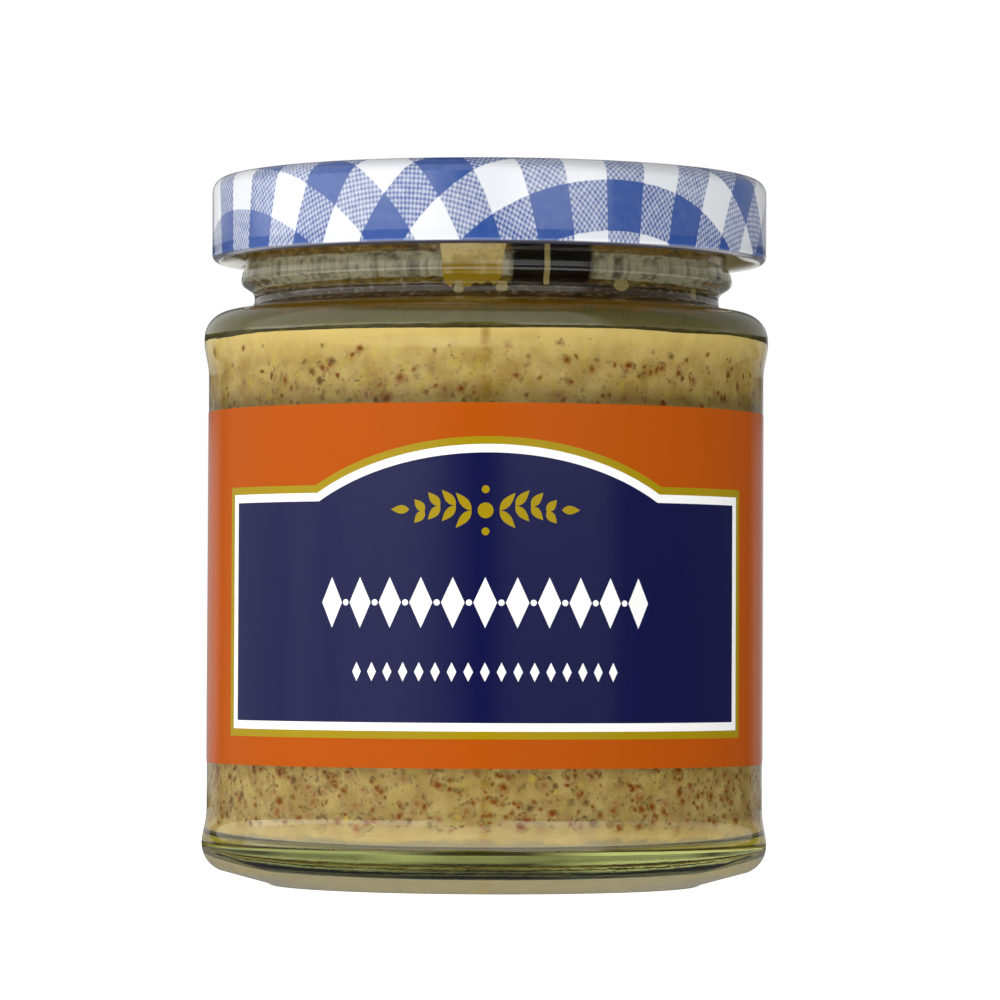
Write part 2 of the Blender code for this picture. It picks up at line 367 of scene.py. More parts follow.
def floor_outline(inset):
    """Crowned floor and its rounding up to the inner wall, moved into the cavity by inset."""
    flat = INNER_RADIUS - FLOOR_ROUNDING
    corner = (flat, FLOOR_HEIGHT + FLOOR_ROUNDING)
    steps = 10
    middle = []
    for i in range(steps):
        share = i / steps
        crown = FLOOR_CROWN * (1 - share * share)
        middle.append((flat * share, FLOOR_HEIGHT + crown + inset))
    return middle + arc(corner, FLOOR_ROUNDING - inset, -90, 0, 16)


def bore_outline():
    """Inner shoulder, bore and rounded rim."""
    shoulder_centre = (INNER_RADIUS - INNER_SHOULDER_ROUNDING, SHOULDER_HEIGHT)
    shoulder = arc(shoulder_centre, INNER_SHOULDER_ROUNDING, 0, 76, 14)
    throat = [(BORE_RADIUS + THROAT_FLARE, NECK_HEIGHT - THROAT_HEIGHT), (BORE_RADIUS, NECK_HEIGHT)]
    rim_width = FINISH_RADIUS - BORE_RADIUS
    rim_centre = ((FINISH_RADIUS + BORE_RADIUS) / 2, MOUTH_HEIGHT - rim_width / 3)
    rim = arc(rim_centre, (rim_width / 2, rim_width / 3), 180, 0, 16)
    bore = rising(NECK_HEIGHT + BORE_START, rim_centre[1] - RIM_GAP, BORE_RADIUS, 14)
    return softened(shoulder + throat + bore, BORE_EASE) + rim


def bore_at(height):
    """Radius of the inside of the glass at a height above the fill."""
    points = bore_outline()
    for below, above in zip(points, points[1:]):
        if below[1] <= height < above[1]:
            return between(below, above, (height - below[1]) / (above[1] - below[1]))[0]
    return BORE_RADIUS


def finish_outline():
    """From the rim down the threaded wall, over the bead and into the neck."""
    top = MOUTH_HEIGHT - (FINISH_RADIUS - BORE_RADIUS) / 3 - RIM_GAP
    wall = rising(BEAD_TOP + FINISH_START, top, FINISH_RADIUS, 30)[::-1]
    bead = [
        (FINISH_RADIUS, BEAD_TOP + BEAD_EASE),
        (BEAD_RADIUS, BEAD_TOP - BEAD_EASE),
        (BEAD_RADIUS, BEAD_BOTTOM + BEAD_EASE),
        (NECK_RADIUS, BEAD_BOTTOM - BEAD_EASE),
        (NECK_RADIUS, NECK_HEIGHT),
        (NECK_RADIUS + NECK_FLARE, NECK_HEIGHT - NECK_FLARE),
    ]
    return wall + softened([wall[-1]] + bead, FINISH_EASE, 6)[1:]


def body_outline():
    """Rounded shoulder, bulges, straight wall, heel, foot ring and base."""
    shoulder_centre = (BULGE_RADIUS - SHOULDER_ROUNDING, SHOULDER_HEIGHT)
    shoulder = arc(shoulder_centre, SHOULDER_ROUNDING, SHOULDER_END, 0, 24)
    bulge_end = SHOULDER_HEIGHT - BULGE_FLAT
    ease = [
        (BULGE_RADIUS, bulge_end),
        (WALL_RADIUS, bulge_end - BULGE_EASE),
        (WALL_RADIUS, HEEL_HEIGHT + HEEL_FLAT + BULGE_EASE),
        (BULGE_RADIUS, HEEL_HEIGHT + HEEL_FLAT),
    ]
    heel = arc((BULGE_RADIUS - HEEL_ROUNDING, HEEL_HEIGHT), HEEL_ROUNDING, 0, HEEL_SLOPE - 90, 30)
    base = [
        (FOOT_OUTER_RADIUS, 0.0),
        (FOOT_INNER_RADIUS, 0.0),
        (PUSH_UP_RADIUS, PUSH_UP_EDGE),
        (0.0, PUSH_UP),
    ]
    upper = softened(shoulder[-1:] + ease + heel[:1], WALL_EASE)
    lower = softened(heel[-1:] + base, FOOT_EASE)
    return shoulder + upper[1:-1] + heel + lower[1:]


# Meshes

def on_jar(radius, angle, height):
    """Point at an angle in radians round the jar, from the front towards +X."""
    return Vector((radius * math.sin(angle), -radius * math.cos(angle), height))


def smooth(data):
    """Shades a mesh smooth but for its sharp edges."""
    data.shade_smooth()
    data.set_sharp_from_angle(angle=SHARP_ANGLE)


def placed(name, data, materials):
    """Object in the scene with a mesh and its materials."""
    for material in materials:
        data.materials.append(material)
    piece = bpy.data.objects.new(name, data)
    bpy.context.scene.collection.objects.link(piece)
    return piece


def finished(mesh, name, materials):
    """Object in the scene made from a bmesh, shaded smooth but for its sharp edges."""
    bmesh.ops.recalc_face_normals(mesh, faces=mesh.faces)
    data = bpy.data.meshes.new(name)
    mesh.to_mesh(data)
    mesh.free()
    smooth(data)
    return placed(name, data, materials)


def turned(name, outline, materials, change=None, second=None):
    """Closed body turned about Z from (radius, height) points.

    The outline starts and ends on the axis, or else it is a loop of its own and makes a ring.
    change may move a point, told as (index in the outline, radius, angle, height).
    Faces from the outline's index second on take the second material.
    """
    mesh = bmesh.new()
    rings = []
    for index, (radius, height) in enumerate(outline):
        count = 1 if radius < 1e-6 else ROUND_STEPS
        ring = []
        for step in range(count):
            angle = 2 * math.pi * step / ROUND_STEPS
            place = (radius, angle, height)
            if change:
                place = change(index, *place)
            ring.append(mesh.verts.new(on_jar(*place)))
        rings.append(ring)
    if len(rings[0]) > 1:
        rings.append(rings[0])
    for index, (upper, lower) in enumerate(zip(rings, rings[1:])):
        for step in range(ROUND_STEPS):
            after = (step + 1) % ROUND_STEPS
            corners = [upper[step % len(upper)], upper[after % len(upper)]]
            corners += [lower[after % len(lower)], lower[step % len(lower)]]
            face = mesh.faces.new(list(dict.fromkeys(corners)))
            face.material_index = int(second is not None and index >= second)
    return finished(mesh, name, materials)


def wrapped(name, fields, radius, thickness, materials, step=LABEL_STEP):
    """Thin sheet wrapped round the axis and cut into fields, each lying over the ones before it.

    A field is (outline, material index), the outline in (arc length, height) points that run
    anticlockwise as seen from outside. The back and the edges take the last material.
    """
    points = []
    faces = []
    for outline, _ in fields:
        faces.append(list(range(len(points), len(points) + len(outline))))
        points += outline
    arcs, heights = zip(*points)
    left = min(arcs)
    width = max(arcs) - left
    edges = []
    count = math.ceil(width / step)
    for i in range(1, count):
        across = left + width * i / count
        edges.append((len(points), len(points) + 1))
        points += [(across, min(heights)), (across, max(heights))]
    plane = [Vector(point) for point in points]
    corners, _, triangles, _, _, sources = delaunay_2d_cdt(plane, edges, faces, 1, 1e-7)
    mesh = bmesh.new()
    places = [mesh.verts.new(on_jar(radius, across / radius, height)) for across, height in corners]
    for triangle, source in zip(triangles, sources):
        if source:
            face = mesh.faces.new([places[i] for i in triangle])
            face.material_index = fields[max(source)][1]
    loose = [place for place in places if not place.link_faces]
    bmesh.ops.delete(mesh, geom=loose, context="VERTS")
    sheet = finished(mesh, name, materials)
    body = sheet.modifiers.new("body", "SOLIDIFY")
    body.thickness = thickness
    body.offset = -1.0
    body.material_offset = len(materials)
    body.material_offset_rim = len(materials)
    solid = sheet.evaluated_get(bpy.context.evaluated_depsgraph_get())
    sheet.data = bpy.data.meshes.new_from_object(solid)
    sheet.modifiers.clear()
    smooth(sheet.data)
    return sheet


# Node trees

def new_material(name):
    """Material, its node tree and its Principled BSDF."""
    material = bpy.data.materials.new(name)
    material.use_nodes = True
    tree = material.node_tree
    return material, tree, tree.nodes["Principled BSDF"]


def put(tree, socket, value):
    """Gives a socket a value or a colour, or links it from another socket."""
    if isinstance(value, bpy.types.NodeSocket):
        tree.links.new(value, socket)
    elif socket.type == "RGBA":
        socket.default_value = (*value, 1.0)
    else:
        socket.default_value = value


def set_inputs(tree, node, **inputs):
    """Sets or links inputs of a node, named with _ for a space."""
    for name, value in inputs.items():
        put(tree, node.inputs[name.replace("_", " ")], value)


def add_node(tree, kind, inputs=None, **settings):
    """New node with its settings, its inputs set to values or linked from sockets."""
    made = tree.nodes.new(kind)
    for name, value in settings.items():
        setattr(made, name, value)
    for key, value in (inputs or {}).items():
        put(tree, made.inputs[key], value)
    return made


def maths(tree, operation, *values, clamp=False):
    """Output of a Math node."""
    inputs = dict(enumerate(values))
    return add_node(tree, "ShaderNodeMath", inputs, operation=operation, use_clamp=clamp).outputs[0]


def times(tree, first, second):
    """Product of two values."""
    return maths(tree, "MULTIPLY", first, second)


def vector_maths(tree, operation, *vectors):
    """Outputs of a Vector Math node."""
    inputs = dict(enumerate(vectors))
    return add_node(tree, "ShaderNodeVectorMath", inputs, operation=operation).outputs


def parts_of(tree, vector):
    """The three parts of a vector."""
    return add_node(tree, "ShaderNodeSeparateXYZ", {0: vector}).outputs


def level_direction(tree, parts):
    """Direction of a vector on the level, from the vector's parts."""
    flat = add_node(tree, "ShaderNodeCombineXYZ", {"X": parts[0], "Y": parts[1]}).outputs[0]
    return vector_maths(tree, "NORMALIZE", flat)[0]


def mixed(tree, share, first, second):
    """Colour on the way from first to second."""
    inputs = {0: share, 6: first, 7: second}
    return add_node(tree, "ShaderNodeMix", inputs, data_type="RGBA").outputs[2]


def object_place(tree):
    """Place of the shaded point in the jar's frame."""
    return add_node(tree, "ShaderNodeTexCoord").outputs["Object"]


def noise_value(tree, place, length, detail=2.0, stretch=None):
    """Noise between 0 and 1 with features of about the given length."""
    if stretch:
        place = add_node(tree, "ShaderNodeMapping", {"Vector": place, "Scale": stretch}).outputs[0]
    inputs = {"Vector": place, "Scale": 1.0 / length, "Detail": detail}
    return add_node(tree, "ShaderNodeTexNoise", inputs).outputs[0]


def stray(tree, place, length, reach):
    """Uneven value between -reach and reach, with features of about the given length."""
    return maths(tree, "MULTIPLY_ADD", noise_value(tree, place, length), 2 * reach, -reach)


def spread(tree, value, low, high):
    """Value stretched so that low to high becomes 0 to 1, and cut off outside."""
    inputs = {"Value": value, "From Min": low, "From Max": high}
    return add_node(tree, "ShaderNodeMapRange", inputs).outputs[0]


def laid(tree, colour, other, cover, share):
    """Colour with another one laid over it as far as cover says, and at most by share."""
    return mixed(tree, times(tree, cover, share), colour, other)


def patched(tree, place, colour, patches):
    """Colour with soft patches laid over it.

    patches are (colour, share, length of features, detail, range of the noise, stretch).
    """
    other, share, length, detail, rise, stretch = patches
    cover = spread(tree, noise_value(tree, place, length, detail, stretch), *rise)
    return laid(tree, colour, other, cover, share)


def ramp(tree, value, stops):
    """Colour at a value between 0 and 1 that runs through (value, colour) stops in rising order."""
    node = add_node(tree, "ShaderNodeValToRGB", {0: value})
    elements = node.color_ramp.elements
    elements[0].position = stops[0][0]
    elements[1].position = stops[-1][0]
    for place, _ in stops[1:-1]:
        elements.new(place)
    for element, (_, colour) in zip(elements, stops):
        element.color = (*colour, 1.0)
    return node.outputs[0]


def bump(tree, surface, height, distance):
    """Relief on a shader, with the height of the value 1 in metres."""
    relief = add_node(tree, "ShaderNodeBump", {"Height": height, "Distance": distance})
    set_inputs(tree, surface, Normal=relief.outputs[0])


# Materials

def glass_material():
    """Faintly green flint glass, which lets lamps through to the mustard."""
    material, tree, surface = new_material("glass")
    set_inputs(tree, surface, Base_Color=WHITE, Roughness=0.0, IOR=1.52, Transmission_Weight=1.0)
    bump(tree, surface, noise_value(tree, object_place(tree), RIPPLE_LENGTH, 1.0), RIPPLE_DEPTH)
    path = add_node(tree, "ShaderNodeLightPath")
    clear = add_node(tree, "ShaderNodeBsdfTransparent", {"Color": GLASS_SHADE})
    shown = surface.outputs[0]
    for kind in ("Is Shadow Ray", "Is Diffuse Ray"):
        inputs = {0: path.outputs[kind], 1: shown, 2: clear.outputs[0]}
        shown = add_node(tree, "ShaderNodeMixShader", inputs).outputs[0]
    inputs = {"Color": GLASS_TINT, "Density": GLASS_DENSITY}
    tint = add_node(tree, "ShaderNodeVolumeAbsorption", inputs).outputs[0]
    set_inputs(tree, tree.nodes["Material Output"], Surface=shown, Volume=tint)
    return material


def stripes(tree, distance):
    """1 on a printed stripe and 0 between stripes, across a distance in metres."""
    wave = maths(tree, "SINE", times(tree, distance, math.pi / STRIPE_WIDTH))
    return maths(tree, "MULTIPLY_ADD", wave, STRIPE_SHARPNESS, 0.5, clamp=True)


def check_distances(tree, place):
    """Distances across both sets of stripes on the flat sheet that the lid was drawn from."""
    shifted = vector_maths(tree, "SUBTRACT", place, (PRINT_AXIS_SHIFT, 0.0, 0.0))[0]
    parts = parts_of(tree, shifted)
    square = maths(tree, "ADD", maths(tree, "POWER", parts[0], 2.0), maths(tree, "POWER", parts[1], 2.0))
    radius = maths(tree, "MAXIMUM", maths(tree, "SQRT", square), 1e-6)
    below = maths(tree, "SUBTRACT", LID_TOP - PRINT_DROP, parts[2])
    on_skirt = maths(tree, "GREATER_THAN", radius, RING_INNER_RADIUS)
    drop = times(tree, maths(tree, "MAXIMUM", below, 0.0), on_skirt)
    drawn = maths(tree, "SQRT", maths(tree, "MULTIPLY_ADD", drop, 2 * LID_RADIUS, square))
    stretch = maths(tree, "DIVIDE", drawn, radius)
    cosine = math.cos(STRIPE_ANGLE)
    sine = math.sin(STRIPE_ANGLE)
    distances = []
    for (across, up), shift in zip(((sine, -cosine), (cosine, sine)), STRIPE_SHIFT):
        sideways = times(tree, parts[0], across)
        plain = maths(tree, "MULTIPLY_ADD", parts[1], up, sideways)
        distances.append(maths(tree, "MULTIPLY_ADD", plain, stretch, -shift))
    return distances


def gingham_material():
    """Printed checks: woven threads of two sets of stripes under lacquer, with painted shade at the
    lower edge.
    """
    material, tree, surface = new_material("lid_print")
    place = object_place(tree)
    wander = stray(tree, place, 0.0005, 0.00011)
    first, second = [maths(tree, "ADD", d, wander) for d in check_distances(tree, place)]
    turns = math.pi * THREADS_PER_STRIPE / STRIPE_WIDTH
    waves = [maths(tree, "SINE", times(tree, d, turns)) for d in (first, second)]
    weave = times(tree, *waves)
    relief = maths(tree, "MULTIPLY_ADD", weave, THREAD_SHOW, stray(tree, place, 0.0009, 0.25))
    over = maths(tree, "ADD", relief, FIRST_COVER)
    under = maths(tree, "SUBTRACT", SECOND_COVER, relief)
    warp = times(tree, stripes(tree, first), over)
    ink = maths(tree, "MULTIPLY_ADD", stripes(tree, second), under, warp, clamp=True)
    mottle = maths(tree, "MULTIPLY_ADD", noise_value(tree, place, 0.0012), 0.10, 0.94)
    colour = mixed(tree, times(tree, ink, mottle), LID_WHITE, BLUE)
    # Painted shade: the print darkens to near black at the bottom of the curl
    edge = spread(tree, parts_of(tree, place)[2], *LID_SHADE_HEIGHTS)
    set_inputs(tree, surface, Base_Color=mixed(tree, edge, colour, LID_EDGE_SHADE), Roughness=0.45)
    set_inputs(tree, surface, Specular_IOR_Level=0.3, Coat_Weight=1.0, Coat_Roughness=0.06)
    return material


def lacquer_material():
    """Pale lacquer inside the lid."""
    material, tree, surface = new_material("lid_lacquer")
    cloud = noise_value(tree, object_place(tree), 0.004)
    darker = tuple(0.86 * c for c in LACQUER)
    set_inputs(tree, surface, Base_Color=mixed(tree, cloud, darker, LACQUER), Roughness=0.38)
    return material


def ink_material(name, colour, fleck=0.05, shine=0.50):
    """One printed colour on coated paper, with the faint unevenness of the print."""
    material, tree, surface = new_material(name)
    place = object_place(tree)
    fine = noise_value(tree, place, 0.00035)
    broad = noise_value(tree, place, 0.004)
    share = maths(tree, "MULTIPLY_ADD", fine, 0.6, times(tree, broad, 0.4))
    darker = tuple(c * (1 - fleck) for c in colour)
    lighter = tuple(c * (1 + fleck) for c in colour)
    printed = mixed(tree, share, darker, lighter)
    set_inputs(tree, surface, Base_Color=printed, Roughness=0.12, Specular_IOR_Level=shine)
    bump(tree, surface, noise_value(tree, place, 0.0006, 3.0), 0.000002)
    return material


def paste_colour(tree, place):
    """Mustard paste: olive cream with soft patches of all sizes, then painted shade low down and painted
    highlights where the glass bulges.
    """
    colour = PASTE
    for patches in PASTE_PATCHES:
        colour = patched(tree, place, colour, patches)
    height = maths(tree, "ADD", parts_of(tree, place)[2], stray(tree, place, 0.0025, 0.0012))
    # Painted shade and painted highlights, laid on by height
    for other, share, start, full in PASTE_LIGHT_AND_SHADE:
        colour = laid(tree, colour, other, spread(tree, height, start, full), share)
    return colour


def streaked(tree, place, colour):
    """Colour with an uneven amber streak down the front."""
    parts = parts_of(tree, place)
    away = maths(tree, "ABSOLUTE", maths(tree, "ADD", parts[0], stray(tree, place, 0.003, 0.0006)))
    streak = spread(tree, away, *STREAK_EDGES)
    broken = spread(tree, noise_value(tree, place, 0.0016), 0.38, 0.62)
    in_front = maths(tree, "LESS_THAN", parts[1], 0.0)
    cover = times(tree, times(tree, streak, broken), in_front)
    return laid(tree, colour, PASTE_AMBER, cover, 0.6)


def seal_to_glass(tree, surface, colour, normal=None, roughness=0.7):
    """Gives a surface that touches the glass its colour, and the full reflection of flat glances."""
    layer = add_node(tree, "ShaderNodeLayerWeight", {"Blend": 0.5})
    if normal:
        set_inputs(tree, layer, Normal=normal)
        set_inputs(tree, surface, Normal=normal)
    mirror = spread(tree, layer.outputs["Facing"], *GRAZING)
    dull = maths(tree, "MULTIPLY_ADD", mirror, -roughness, roughness)
    set_inputs(tree, surface, Base_Color=mixed(tree, mirror, colour, MIRRORED), Metallic=mirror)
    set_inputs(tree, surface, Roughness=dull, Specular_IOR_Level=0.05)


def wet_paste_material():
    """Top of the mustard, wet and grainy."""
    material, tree, surface = new_material("mustard_wet")
    place = object_place(tree)
    set_inputs(tree, surface, Base_Color=paste_colour(tree, place), Roughness=0.28)
    bump(tree, surface, noise_value(tree, place, 0.0007, 3.0), 0.0002)
    return material


def glazed_paste_material():
    """Mustard that lies against the glass."""
    material, tree, surface = new_material("mustard_at_glass")
    place = object_place(tree)
    seal_to_glass(tree, surface, streaked(tree, place, paste_colour(tree, place)))
    bump(tree, surface, noise_value(tree, place, 0.0012), 0.00001)
    return material


def run_material(name, lower, upper):
    """Mustard that ran down the neck: its upper colour, and below the lower one, both mottled."""
    material, tree, surface = new_material(name)
    place = object_place(tree)
    height = maths(tree, "ADD", parts_of(tree, place)[2], stray(tree, place, 0.0015, 0.0006))
    colour = mixed(tree, spread(tree, height, *RUN_CHANGE), lower, upper)
    seal_to_glass(tree, surface, patched(tree, place, colour, RUN_MOTTLES))
    bump(tree, surface, noise_value(tree, place, 0.0007, 3.0), 0.00005)
    return material


def film_material():
    """Drying film inside the neck, in uneven bands that are partly its own colour and partly painted
    shade, with a near-black patch of painted shade in front.
    """
    material, tree, surface = new_material("mustard_film")
    place = object_place(tree)
    parts = parts_of(tree, place)
    wander = stray(tree, place, 0.0022, 0.0005)
    height = maths(tree, "ADD", parts[2], wander)
    # Bands of film colour and painted shade by height
    low = FILM_AND_SHADE_BANDS[0][0]
    high = FILM_AND_SHADE_BANDS[-1][0]
    stops = [((level - low) / (high - low), colour) for level, colour in FILM_AND_SHADE_BANDS]
    bands = ramp(tree, spread(tree, height, low, high), stops)
    colour = bands
    for blotches in FILM_BLOTCHES:
        colour = patched(tree, place, colour, blotches)
    on_neck = spread(tree, parts[2], *BLOTCH_BOTTOM)
    colour = patched(tree, place, mixed(tree, on_neck, bands, colour), FILM_SPECKLES)
    # Painted shade: a near-black patch in front, where the unlit headspace shows
    angle = maths(tree, "ARCTAN2", parts[0], times(tree, parts[1], -1.0))
    angle = maths(tree, "ADD", angle, times(tree, wander, SHADE_PATCH_STRAY))
    away = maths(tree, "ABSOLUTE", maths(tree, "SUBTRACT", angle, SHADE_PATCH_MIDDLE))
    inside = spread(tree, away, *SHADE_PATCH_EDGES)
    above = spread(tree, height, *SHADE_PATCH_BOTTOM)
    seal_to_glass(tree, surface, laid(tree, colour, SHADE_PATCH_BLACK, inside, above), roughness=0.6)
    bump(tree, surface, noise_value(tree, place, 0.0005, 3.0), 0.00005)
    return material


def wall_normal(tree, place):
    """Outward direction of the mustard's side, which turns down where it rounds into the floor."""
    parts = parts_of(tree, place)
    low = spread(tree, parts[2], FLOOR_HEIGHT + FLOOR_ROUNDING, FLOOR_HEIGHT)
    down = add_node(tree, "ShaderNodeCombineXYZ", {"Z": times(tree, low, -1.0)}).outputs[0]
    whole = vector_maths(tree, "ADD", level_direction(tree, parts), down)[0]
    return vector_maths(tree, "NORMALIZE", whole)[0]


def fragment_material(name, middle, ring):
    """Bits in the paste, by each point's tone: 0 is the middle, then come the ring and the paste."""
    material, tree, surface = new_material(name)
    place = object_place(tree)
    tone = add_node(tree, "ShaderNodeAttribute", attribute_name="tone").outputs["Fac"]
    tone = maths(tree, "ADD", tone, stray(tree, place, 0.0004, 0.2))
    inner = mixed(tree, spread(tree, tone, 0.1, 0.55), middle, ring)
    colour = mixed(tree, spread(tree, tone, 0.36, 0.92), inner, paste_colour(tree, place))
    seal_to_glass(tree, surface, colour, wall_normal(tree, place))
    return material


def stage_material():
    """White floor, seen from above, with a painted contact shadow, a dark line under the jar's foot.

    Mirrored in the foot it is a dim glow near the jar, painted shade of the table there, and lamps pass
    it.
    """
    material, tree, surface = new_material("stage_white")
    clear = add_node(tree, "ShaderNodeBsdfTransparent").outputs[0]
    # Painted shade: near the jar the floor glows dimly in the foot's reflections and refractions
    painted_table_shade = add_node(tree, "ShaderNodeEmission", {"Strength": FOOT_SHADE_GLOW}).outputs[0]
    path = add_node(tree, "ShaderNodeLightPath").outputs
    camera = path["Is Camera Ray"]
    behind = add_node(tree, "ShaderNodeNewGeometry").outputs["Backfacing"]
    from_above = maths(tree, "SUBTRACT", camera, behind, clamp=True)
    radius = vector_maths(tree, "LENGTH", object_place(tree))["Value"]
    near = spread(tree, radius, *FOOT_SHADE_RADII)
    # Painted contact shadow: the floor's glow goes out inside the foot ring
    glow_but_contact_shadow = spread(tree, radius, *CONTACT_SHADOW_RADII)
    set_inputs(tree, surface, Base_Color=STAGE_WHITE, Roughness=0.9, Specular_IOR_Level=0.0)
    set_inputs(tree, surface, Emission_Color=WHITE, Emission_Strength=glow_but_contact_shadow)
    lamps = maths(tree, "ADD", maths(tree, "ADD", path["Is Diffuse Ray"], path["Is Shadow Ray"]), camera)
    mirrored = maths(tree, "SUBTRACT", near, lamps, clamp=True)
    seen = maths(tree, "MAXIMUM", from_above, mirrored)
    floor = add_node(tree, "ShaderNodeMixShader", {0: camera, 1: painted_table_shade, 2: surface.outputs[0]}).outputs[0]
    shown = add_node(tree, "ShaderNodeMixShader", {0: seen, 1: clear, 2: floor}).outputs[0]
    set_inputs(tree, tree.nodes["Material Output"], Surface=shown)
    return material


# Glass

def thread_lift(angle, height):
    """How far the thread ridges stand out of the finish at a place."""
    degrees = math.degrees(angle) - 90.0
    best = 0.0
    for index in range(THREAD_COUNT):
        start = THREAD_START + 360.0 / THREAD_COUNT * index
        along = ((degrees - start) % 360.0) / THREAD_SWEEP
        if along > 1.0:
            continue
        middle = THREAD_LOW + THREAD_RISE * along
        away = abs(height - middle) / THREAD_HALF_WIDTH
        end = min(1.0, min(along, 1.0 - along) / THREAD_TAPER)
        if away < 1.0:
            best = max(best, THREAD_HEIGHT * end * math.cos(away * math.pi / 2))
    return best


def glass_change(inside_count):
    """Function that gives the turned glass its threads, mould seams, foot marks and slight waves."""
    def change(index, radius, angle, height):
        if index < inside_count:
            return radius, angle, height
        spot = on_jar(radius, angle, height) / WAVE_LENGTH
        if radius >= FINISH_RADIUS - 1e-5 and height > BEAD_TOP:
            radius += thread_lift(angle, height)
        is_wall = HEEL_HEIGHT < height < SHOULDER_HEIGHT and abs(radius - WALL_RADIUS) < SEAM_HEIGHT
        if radius > FOOT_OUTER_RADIUS and not is_wall:
            from_seam = abs((math.degrees(angle) + 90.0) % 180.0 - 90.0)
            seam = max(0.0, 1.0 - abs(from_seam - 90.0) / SEAM_HALF_DEGREES)
            radius += SEAM_HEIGHT * seam + WAVE_DEPTH * noise.noise(spot)
        if height < 1e-5 and radius > FOOT_INNER_RADIUS:
            height += KNURL_DEPTH * (0.5 - 0.5 * math.cos(KNURL_COUNT * angle))
        return radius, angle, height
    return change


def make_glass():
    """The jar with its inner and outer faces as one closed body."""
    inside = floor_outline(0.0) + bore_outline()
    outline = inside + finish_outline() + body_outline()
    glass = turned("jar_glass", outline, [glass_material()], glass_change(len(inside)))
    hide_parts("glass_jar")
    return glass


# Lid

def panel_outline(sheet):
    """Top of the lid from the sunk button out to the raised ring, lowered by the sheet."""
    top = LID_TOP - sheet
    return [
        (0.0, top - BUTTON_DEPTH),
        (BUTTON_FLAT_RADIUS, top - BUTTON_DEPTH),
        (BUTTON_RADIUS - BUTTON_RIM, top - PANEL_DEPTH - BUTTON_RIM_DEPTH),
        (BUTTON_RADIUS, top - PANEL_DEPTH),
        (PANEL_RADIUS, top - PANEL_DEPTH),
        (RING_INNER_RADIUS, top),
        (LID_RADIUS - LID_ROUNDING, top),
    ]


def lid_outlines():
    """Printed outside down to the curl, then the lacquered inside."""
    corner = (LID_RADIUS - LID_ROUNDING, LID_TOP - LID_ROUNDING)
    curl = (LID_RADIUS - LID_CURL, LID_BOTTOM + LID_CURL)
    top = softened(panel_outline(0.0), LID_EASE) + arc(corner, LID_ROUNDING, 90, 0, 14)
    skirt = rising(curl[1], corner[1], LID_RADIUS, 8)[::-1][1:-1]
    outside = top + skirt + arc(curl, LID_CURL, 0, -80, CURL_PRINTED_STEPS)
    rolled = arc(curl, LID_CURL, -90, -250, CURL_ROLLED_STEPS)
    inner_skirt = rising(curl[1] + LID_CURL, corner[1], LID_RADIUS - LID_SHEET, 6)[:-1]
    inner_corner = arc(corner, LID_ROUNDING - LID_SHEET, 0, 90, 10)
    inside = rolled + inner_skirt + inner_corner + softened(panel_outline(LID_SHEET)[::-1], LID_EASE)
    return outside, inside


def lid_change(first_rolled, last_rolled):
    """Function that presses the lugs in from the curl and shifts the lid a little off the axis."""
    curl_radius = LID_RADIUS - LID_CURL

    def change(index, radius, angle, height):
        if first_rolled <= index < last_rolled:
            from_lug = (math.degrees(angle) - 90.0 - LUG_ANGLE) % (360.0 / LUG_COUNT)
            from_lug = min(from_lug, 360.0 / LUG_COUNT - from_lug)
            ease = min(1.0, max(0.0, (LUG_HALF_DEGREES - from_lug) / LUG_EASE_DEGREES))
            pressed = ease * min(1.0, max(0.0, (curl_radius - radius) / LID_CURL))
            radius -= LUG_REACH * pressed
            height += (LUG_MIDDLE - height) * LUG_SINK * pressed
        return radius, angle, height
    return change


def make_lid():
    """Checked metal cap with a sunk button, a curled edge and four lugs."""
    outside, inside = lid_outlines()
    first_rolled = len(outside) - CURL_PRINTED_STEPS // 2
    change = lid_change(first_rolled, len(outside) + CURL_ROLLED_STEPS + 1)
    materials = [gingham_material(), lacquer_material()]
    lid = turned("jar_lid", outside + inside, materials, change, len(outside))
    lid.data.transform(Matrix.Translation((LID_SHIFT, 0.0, 0.0)))
    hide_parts("lid")
    return lid


# Label

def box_outline(left, right, low, high):
    """Rectangle, anticlockwise."""
    return [(left, low), (right, low), (right, high), (left, high)]


def arched_outline(inset):
    """Panel with square shoulders and an arch between them, moved in by inset."""
    half = PANEL_HALF - inset
    shoulder = PANEL_SHOULDER - inset
    radius = ARCH_RADIUS - inset
    edge = math.degrees(math.asin((shoulder - ARCH_CENTRE[1]) / radius))
    arch = arc(ARCH_CENTRE, radius, edge, 180.0 - edge, 60)
    base = [(-half, PANEL_BOTTOM + inset), (half, PANEL_BOTTOM + inset)]
    return base + [(half, shoulder)] + arch + [(-half, shoulder)]


def disc(across, height, radius):
    """Round dot, anticlockwise."""
    return arc((across, height), radius, 0, 360 - 15, 23)


def lozenge(across, height, half_width, half_height):
    """Upright lozenge, anticlockwise."""
    return arc((across, height), (half_width, half_height), 0, 270, 3)


def leaf(base, direction, length, width):
    """Pointed leaf that grows from base at direction degrees, anticlockwise."""
    along = Vector((math.cos(math.radians(direction)), math.sin(math.radians(direction))))
    side = Vector((-along.y, along.x))
    steps = 8
    lower = []
    upper = []
    for i in range(steps + 1):
        share = i / steps
        half = width / 2 * math.sin(math.pi * share ** 0.8)
        middle = Vector(base) + along * length * share
        lower.append(tuple(middle - side * half))
        upper.append(tuple(middle + side * half))
    return lower + upper[-2:0:-1]


